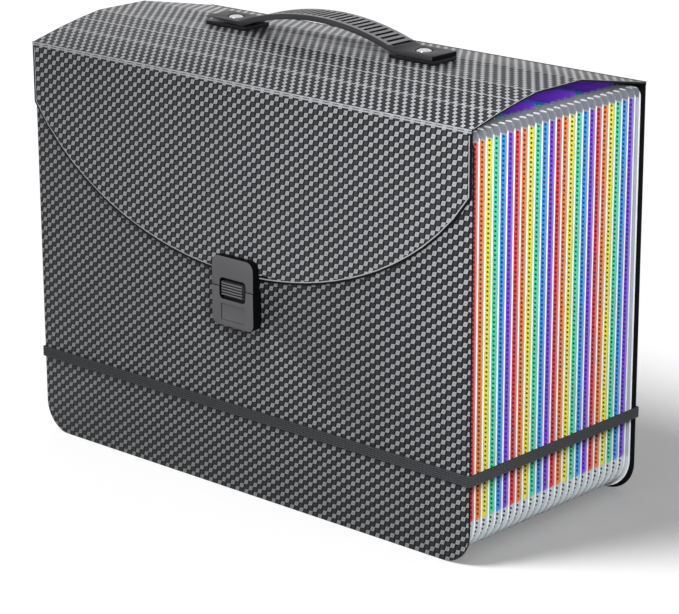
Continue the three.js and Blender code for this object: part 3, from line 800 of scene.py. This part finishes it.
def elastic_finish():
    def build(tree):
        point = coordinates(tree)
        yarn = ((point[0] + point[1]) * YARN_PER_MM).math("SINE") * 0.5 + 0.5
        rib = ((point[2] - BAND_LOW) / RIB_HEIGHT) % 1 - 0.5
        # The grooves between the ribs are painted near black, as shade.
        groove = smooth(rib.math("ABSOLUTE"), 0.26, 0.44)
        fluff = noise(tree, 1800, 3)
        colour = blend(yarn * 0.2 + fluff * 0.5, grey(46), srgb(84, 85, 89))
        return {
            "Base Color": blend(groove, colour, srgb(16, 16, 18)),
            "Roughness": 0.72 + fluff * 0.15,
            "Normal": bump(yarn * 0.4 + fluff * 0.5, 0.08, 0.5),
        }

    return finish("woven_elastic", build, Sheen_Weight=0.1, Specular_IOR_Level=0.2)


print("band height", round(BAND_HIGH - BAND_LOW, 2))

# %% [markdown]
# The band lies flat on the covers and turns round their edges, so its line is a rectangle with a quarter
# turn at each corner.

# %% Elastic band
BAND_THICKNESS = 1.2
BAND_GAP = 0.3
RIB_DEPTH = 0.34
RIB_FULLNESS = 0.6
RIB_STEPS = 6
TURN_STEPS = 6
CASE_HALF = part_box("rear_cover")[1].x / MM


def band_section():
    """A flat back, and a front of round ribs. Each rib's first point is the last one of the rib before."""
    section = [(0, BAND_HIGH), (0, BAND_LOW)]
    for i in range(BAND_RIBS):
        for k in range(0 if i == 0 else 1, RIB_STEPS + 1):
            t = k / RIB_STEPS
            swell = RIB_DEPTH * math.sin(math.pi * t) ** RIB_FULLNESS
            section.append((BAND_THICKNESS - RIB_DEPTH + swell, BAND_LOW + RIB_HEIGHT * (i + t)))
    return section


def band_places():
    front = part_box("front_cover")[0].y / MM
    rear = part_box("rear_cover")[1].y / MM

    def at(side, y, angle):
        c, s = math.cos(angle), math.sin(angle)
        return lambda a, b: (side * CASE_HALF + (BAND_GAP + a) * c, y + (BAND_GAP + a) * s, b)

    corners = [(1, front), (1, rear), (-1, rear), (-1, front)]
    return [at(side, y, (number - 1 + step / TURN_STEPS) * math.pi / 2)
            for number, (side, y) in enumerate(corners) for step in range(TURN_STEPS + 1)]


band = swept("elastic_strap", band_places(), band_section(), True, elastic_finish())
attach(band, "case")
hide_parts("elastic_band")
print("band faces", len(band.data.polygons))

# %% [markdown]
# Handle, lock and back plate are injection mouldings. Their plastic is even in colour, with a fine spark
# grain that only shows in the gloss, so the grain goes to roughness and a very shallow bump.

# %% Moulded finishes


def moulded_finish(name, low, high, roughness, gloss=0.3):
    def build(tree):
        grain = noise(tree, 3200)
        wide = noise(tree, 90)
        shade = grain * 0.6 + wide * 0.4
        return {
            "Base Color": blend(shade, srgb(low, low, low + 3), srgb(high, high, high + 3)),
            "Roughness": roughness + grain * 0.14,
            "Normal": bump(grain, 0.02, 0.35),
        }

    return finish(name, build, Specular_IOR_Level=gloss)


HANDLE_PLASTIC = moulded_finish("handle_plastic", 42, 58, 0.36, 0.2)
PAD_PLASTIC = moulded_finish("handle_pad_plastic", 14, 24, 0.4, 0.2)
LOCK_PLASTIC = moulded_finish("lock_plastic", 78, 94, 0.36)
# Near black, painted as shade on the sides, slots and recesses of the lock and the handle.
LOCK_PAINTED_SHADE = moulded_finish("lock_painted_shade", 4, 9, 0.45, 0.05)
RIB_PLASTIC = moulded_finish("lock_rib_plastic", 96, 116, 0.34)
# Darker grey, painted as shade in the thumb button's grooves.
BUTTON_GROOVE_PAINTED_SHADE = moulded_finish("lock_groove_plastic", 40, 52, 0.4, 0.2)
# Pale grey, painted as highlight on the tops of the strap's ribs.
STRAP_RIB_PAINTED_HIGHLIGHT = moulded_finish("strap_rib_plastic", 92, 112, 0.34)
print("plastics", [m.name for m in bpy.data.materials if "plastic" in m.name])

# %% [markdown]
# The strap is one moulding in one plastic. Its rib tops are painted pale as highlight, and its slots black
# as shade. A slot's floor lies under the strap's arc, so a face is known for a slot by its distance from the
# arc's centre.

# %% Faces of the handle
HANDLE_LOW, HANDLE_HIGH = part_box("handle")
HANDLE_MIDDLE = (HANDLE_LOW.y + HANDLE_HIGH.y) / 2
ARCH_HALF = 60 * MM
ARCH_RISE = 10.7 * MM
ARCH_RADIUS = (ARCH_HALF ** 2 + ARCH_RISE ** 2) / (2 * ARCH_RISE)
ARCH_CENTRE_Z = HANDLE_HIGH.z - ARCH_RADIUS
SLOT_FIELD = 7.6 * MM
SLOT_REACH = 57 * MM
SLOT_MARGIN = 0.25 * MM
RIVET_X = 71 * MM
PLATE_START = 54 * MM
SEAT_RADIUS = 5.05 * MM
SEAT_LEVEL = HANDLE_LOW.z + 2 * MM
HANDLE_FINISHES = [HANDLE_PLASTIC, LOCK_PAINTED_SHADE, STRAP_RIB_PAINTED_HIGHLIGHT, PAD_PLASTIC]


def handle_faces(normal, centre, on_bevel):
    """Grey strap, slots, seats and sides painted black as shade, rib tops painted pale as highlight, and
    dark foot plates, in that order.
    """
    y = centre.y - HANDLE_MIDDLE
    sunk = math.hypot(centre.x, centre.z - ARCH_CENTRE_Z) < ARCH_RADIUS - SLOT_MARGIN
    in_field = abs(y) < SLOT_FIELD and abs(centre.x) < SLOT_REACH
    in_seat = centre.z < SEAT_LEVEL and math.hypot(abs(centre.x) - RIVET_X, y) < SEAT_RADIUS
    if normal.y < -0.6 and abs(centre.x) < PLATE_START:
        return 0
    # Sides, rivet seats and slots are painted black, as shade.
    if normal.z < 0.5 or in_seat or (in_field and sunk):
        return 1
    if abs(centre.x) > PLATE_START:
        return 3
    return 2 if in_field else 0


print("arc radius", round(ARCH_RADIUS / MM, 1), "mm")

# %% [markdown]
# The lock's outer face is grey, and everything that steps back from it is painted near black, as shade. So
# is the rim of the blank panel on its lower shell, and the thumb button's grooves are painted darker than
# its ribs, as shade.

# %% Faces of the lock
LOCK_FACE_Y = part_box("lock_body")[0].y + 0.6 * MM
RIB_FACE_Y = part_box("lock_button")[0].y + 0.25 * MM
PANEL_X = 8.8 * MM
PANEL_Z = 108.15 * MM
PANEL_HALF = 4.75 * MM
OUTWARD = 0.3


def lock_faces(normal, centre, on_bevel):
    """The outer face in grey, and the sides, the window and the panel's rim painted black as shade."""
    out = max(abs(centre.x) / PANEL_X, abs(centre.z - PANEL_Z) / PANEL_HALF)
    on_rim = on_bevel and 0.9 < out < 1.1
    return 0 if -normal.y > OUTWARD and centre.y < LOCK_FACE_Y and not on_rim else 1


def button_faces(normal, centre, on_bevel):
    """Ribs, and the grooves between them, painted darker as shade."""
    return 0 if -normal.y > OUTWARD and centre.y < RIB_FACE_Y else 1


print("lock face at y", round(LOCK_FACE_Y / MM, 2))

# %% [markdown]
# Now the moulded pieces can be copied. Larger ones have the larger rounds, and the back plate inside the
# front cover, which hardly shows, keeps its solid and takes the pads' plastic.

# %% Moulded pieces
LOCK_FINISHES = [LOCK_PLASTIC, LOCK_PAINTED_SHADE]
moulded = [
    soft_copy("handle", "handle_strap", "lid", 0.3, 2, HANDLE_FINISHES, handle_faces),
    soft_copy("handle_base_left", "handle_pad_left", "lid", 0.4, 2, [PAD_PLASTIC]),
    soft_copy("handle_base_right", "handle_pad_right", "lid", 0.4, 2, [PAD_PLASTIC]),
    soft_copy("lock_body", "lock_lower_shell", "case", 0.4, 3, LOCK_FINISHES, lock_faces),
    soft_copy("lock_strike", "lock_upper_shell", "flap", 0.4, 3, LOCK_FINISHES, lock_faces),
    soft_copy("lock_button", "lock_thumb_button", "button", 0.2, 2, [RIB_PLASTIC, BUTTON_GROOVE_PAINTED_SHADE],
              button_faces),
]
repaint("lock_backplate", PAD_PLASTIC)
print("moulded pieces", len(moulded))

# %% [markdown]
# The rivets are turned steel with a polished dome, and so are the washers under the lid.

# %% Steel


def steel_finish():
    def build(tree):
        brushed = noise(tree, 500, 3, (1, 1, 6))
        return {
            "Base Color": blend(brushed, srgb(186, 187, 190), srgb(222, 223, 226)),
            "Roughness": 0.16 + brushed * 0.12,
            "Normal": bump(brushed, 0.01, 0.2),
        }

    return finish("polished_steel", build, Metallic=1.0)


STEEL = steel_finish()
for name in ("handle_washer_left", "handle_washer_right"):
    repaint(name, STEEL)
print("washers in", STEEL.name)

# %% [markdown]
# A rivet's section is its profile from the axis out: the clenched tail, the shank and the domed head.

# %% Rivets
RIVET_SIDES = 40
DOME_HEIGHT = 1.2
DOME_STEPS = 10
SHANK = 2
TAIL = 3.4
TAIL_HEIGHT = 0.8
AXIS_HOLE = 0.02


def rivet(side_name):
    low, high = (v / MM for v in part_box(f"handle_rivet_{side_name}"))
    x, y = (low.x + high.x) / 2, (low.y + high.y) / 2
    head = (high.y - low.y) / 2
    head_z = high.z - DOME_HEIGHT
    tail_z = low.z + TAIL_HEIGHT
    profile = [(AXIS_HOLE, low.z), (TAIL, low.z), (TAIL, tail_z), (SHANK, tail_z), (SHANK, head_z),
               (head, head_z)]
    for k in range(1, DOME_STEPS + 1):
        t = math.pi / 2 * k / DOME_STEPS
        profile.append((head * math.cos(t) + AXIS_HOLE, head_z + DOME_HEIGHT * math.sin(t)))

    def around(angle):
        return lambda a, b: (x + a * math.cos(angle), y + a * math.sin(angle), b)

    places = [around(angle) for angle in parts_of_turn(RIVET_SIDES)]
    piece = swept(f"rivet_{side_name}", places, profile, True, STEEL)
    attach(piece, "lid")
    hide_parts(f"handle_rivet_{side_name}")
    return piece


rivets = [rivet("left"), rivet("right")]
print("rivets", [r.name for r in rivets])

# %% [markdown]
# Behind the thumb button a small coil spring pushes it up. It is round wire wound on a helix, so the same
# sweep takes a round section up a spiral. The button slides by 2 mm.

# %% Coil spring
SPRING_TURNS = 6
SPRING_STEPS = 14
WIRE_SIDES = 8
WIRE_RADIUS = 0.28
SPRING_SLACK = 0.1


def coil_spring():
    low, high = (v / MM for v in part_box("lock_spring"))
    x, y = (low.x + high.x) / 2, (low.y + high.y) / 2
    length = high.z - low.z
    reach = (high.y - low.y) / 2 - WIRE_RADIUS
    start, rise = low.z + WIRE_RADIUS, length - 2 * WIRE_RADIUS - SPRING_SLACK

    def around(t):
        c, s = math.cos(2 * math.pi * SPRING_TURNS * t), math.sin(2 * math.pi * SPRING_TURNS * t)
        return lambda a, b: (x + (reach + a) * c, y + (reach + a) * s, start + rise * t + b)

    steps = SPRING_TURNS * SPRING_STEPS
    wire = [(WIRE_RADIUS * math.cos(t), WIRE_RADIUS * math.sin(t)) for t in parts_of_turn(WIRE_SIDES)]
    spring = swept("coil_spring", [around(k / steps) for k in range(steps + 1)], wire, False, STEEL)
    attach(spring, "case")
    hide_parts("lock_spring")
    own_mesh(spring)
    return spring


print("spring faces", len(coil_spring().data.polygons))

# %% [markdown]
# The stage is a white floor and an even sky. The floor's colour and the sky's strength are one thing for
# the camera, for mirrors and through glass, and another for the light that falls on things. So the
# background shows white, and the light on the case stays plain.

# %% Floor and sky
FLOOR_SIZE = 12
FLOOR_SEEN = (0.94, 0.94, 0.94)
FLOOR_BOUNCE = (0.22, 0.22, 0.22)
FLOOR_GLOW = (0.19, 0.19, 0.19)
UNLIT = (0.0, 0.0, 0.0)
SKY_LEVEL = 0.2


def sees(tree):
    """1 for the camera, for mirrors and through glass, and 0 for the light that falls on things."""
    camera, glossy, through = [make_node(tree, "ShaderNodeLightPath", {}, {}, f"Is {kind} Ray")
                               for kind in ("Camera", "Glossy", "Transmission")]
    return camera.math("MAXIMUM", glossy).math("MAXIMUM", through)


def studio_white(tree):
    return {
        "Base Color": blend(sees(tree), FLOOR_BOUNCE, FLOOR_SEEN),
        "Emission Color": blend(sees(tree), UNLIT, FLOOR_GLOW),
    }


def make_floor():
    bpy.ops.mesh.primitive_plane_add(size=FLOOR_SIZE, location=(0, 0, 0))
    floor = bpy.context.object
    floor.name = "studio_floor"
    floor.data.materials.append(
        finish("studio_white", studio_white, Roughness=0.9, Specular_IOR_Level=0.1, Emission_Strength=1.0))
    return floor


def make_sky():
    world = bpy.data.worlds.new("studio_world")
    bpy.context.scene.world = world
    world.use_nodes = True
    tree = world.node_tree
    background = tree.nodes["Background"]
    level = SKY_LEVEL + sees(tree) * (1 - SKY_LEVEL)
    tree.links.new(level.socket, background.inputs["Strength"])
    background.inputs["Color"].default_value = (1, 1, 1, 1)
    return world


studio_floor = make_floor()
bpy.context.scene.view_settings.view_transform = "Standard"
print("stage", studio_floor.name, make_sky().name)

# %% [markdown]
# Four lamps light it. A sun's light doesn't fall off, so that it keeps the floor even to the horizon, and
# its wide disc makes the soft shadow behind the case on the right. That sun is linked to the floor alone.
# A second, steeper one lights the case, a near lamp at the right lights the pleated side and fades along
# the front, and one more lights the rear. These three leave the floor out, so that the shadow stays as it
# is, and no mirror image of the two near lamps shows in the gloss.

# %% Lamps
CASE_SUN = {"energy": 1.5, "angle": math.radians(16)}
FLOOR_SUN = {"energy": 2.75, "angle": math.radians(24)}
SIDE_LAMP = {"energy": 7.6, "shape": "DISK", "size": 0.35}
REAR_LAMP = {"energy": 14, "shape": "DISK", "size": 0.5}


def lamp(name, kind, place, aim, settings):
    light = bpy.data.lights.new(name, kind)
    for setting, value in settings.items():
        setattr(light, setting, value)
    holder = bpy.data.objects.new(name, light)
    bpy.context.scene.collection.objects.link(holder)
    holder.location = place
    holder.rotation_euler = (Vector(aim) - Vector(place)).to_track_quat("-Z", "Y").to_euler()
    holder.visible_camera = False
    return holder


def choose_lit(holder, piece, state):
    """INCLUDE: the lamp lights this object alone. EXCLUDE: it lights all the others."""
    group = bpy.data.collections.new(f"{holder.name}_{state.lower()}")
    group.objects.link(piece)
    holder.light_linking.receiver_collection = group
    group.collection_objects[0].light_linking.link_state = state


case_sun = lamp("case_sun", "SUN", (-0.25, -0.3, 0.95), (0, 0, 0), CASE_SUN)
floor_sun = lamp("floor_sun", "SUN", (-0.45, -0.6, 0.95), (0, 0, 0), FLOOR_SUN)
side_lamp = lamp("side_lamp", "AREA", (0.6, -0.46, 0.48), (0.12, 0, 0.12), SIDE_LAMP)
rear_lamp = lamp("rear_lamp", "AREA", (-0.85, 0.8, 0.5), (0, 0, 0.12), REAR_LAMP)
choose_lit(floor_sun, studio_floor, "INCLUDE")
for case_lamp in (case_sun, side_lamp, rear_lamp):
    choose_lit(case_lamp, studio_floor, "EXCLUDE")
for near_lamp in (side_lamp, rear_lamp):
    near_lamp.visible_glossy = False
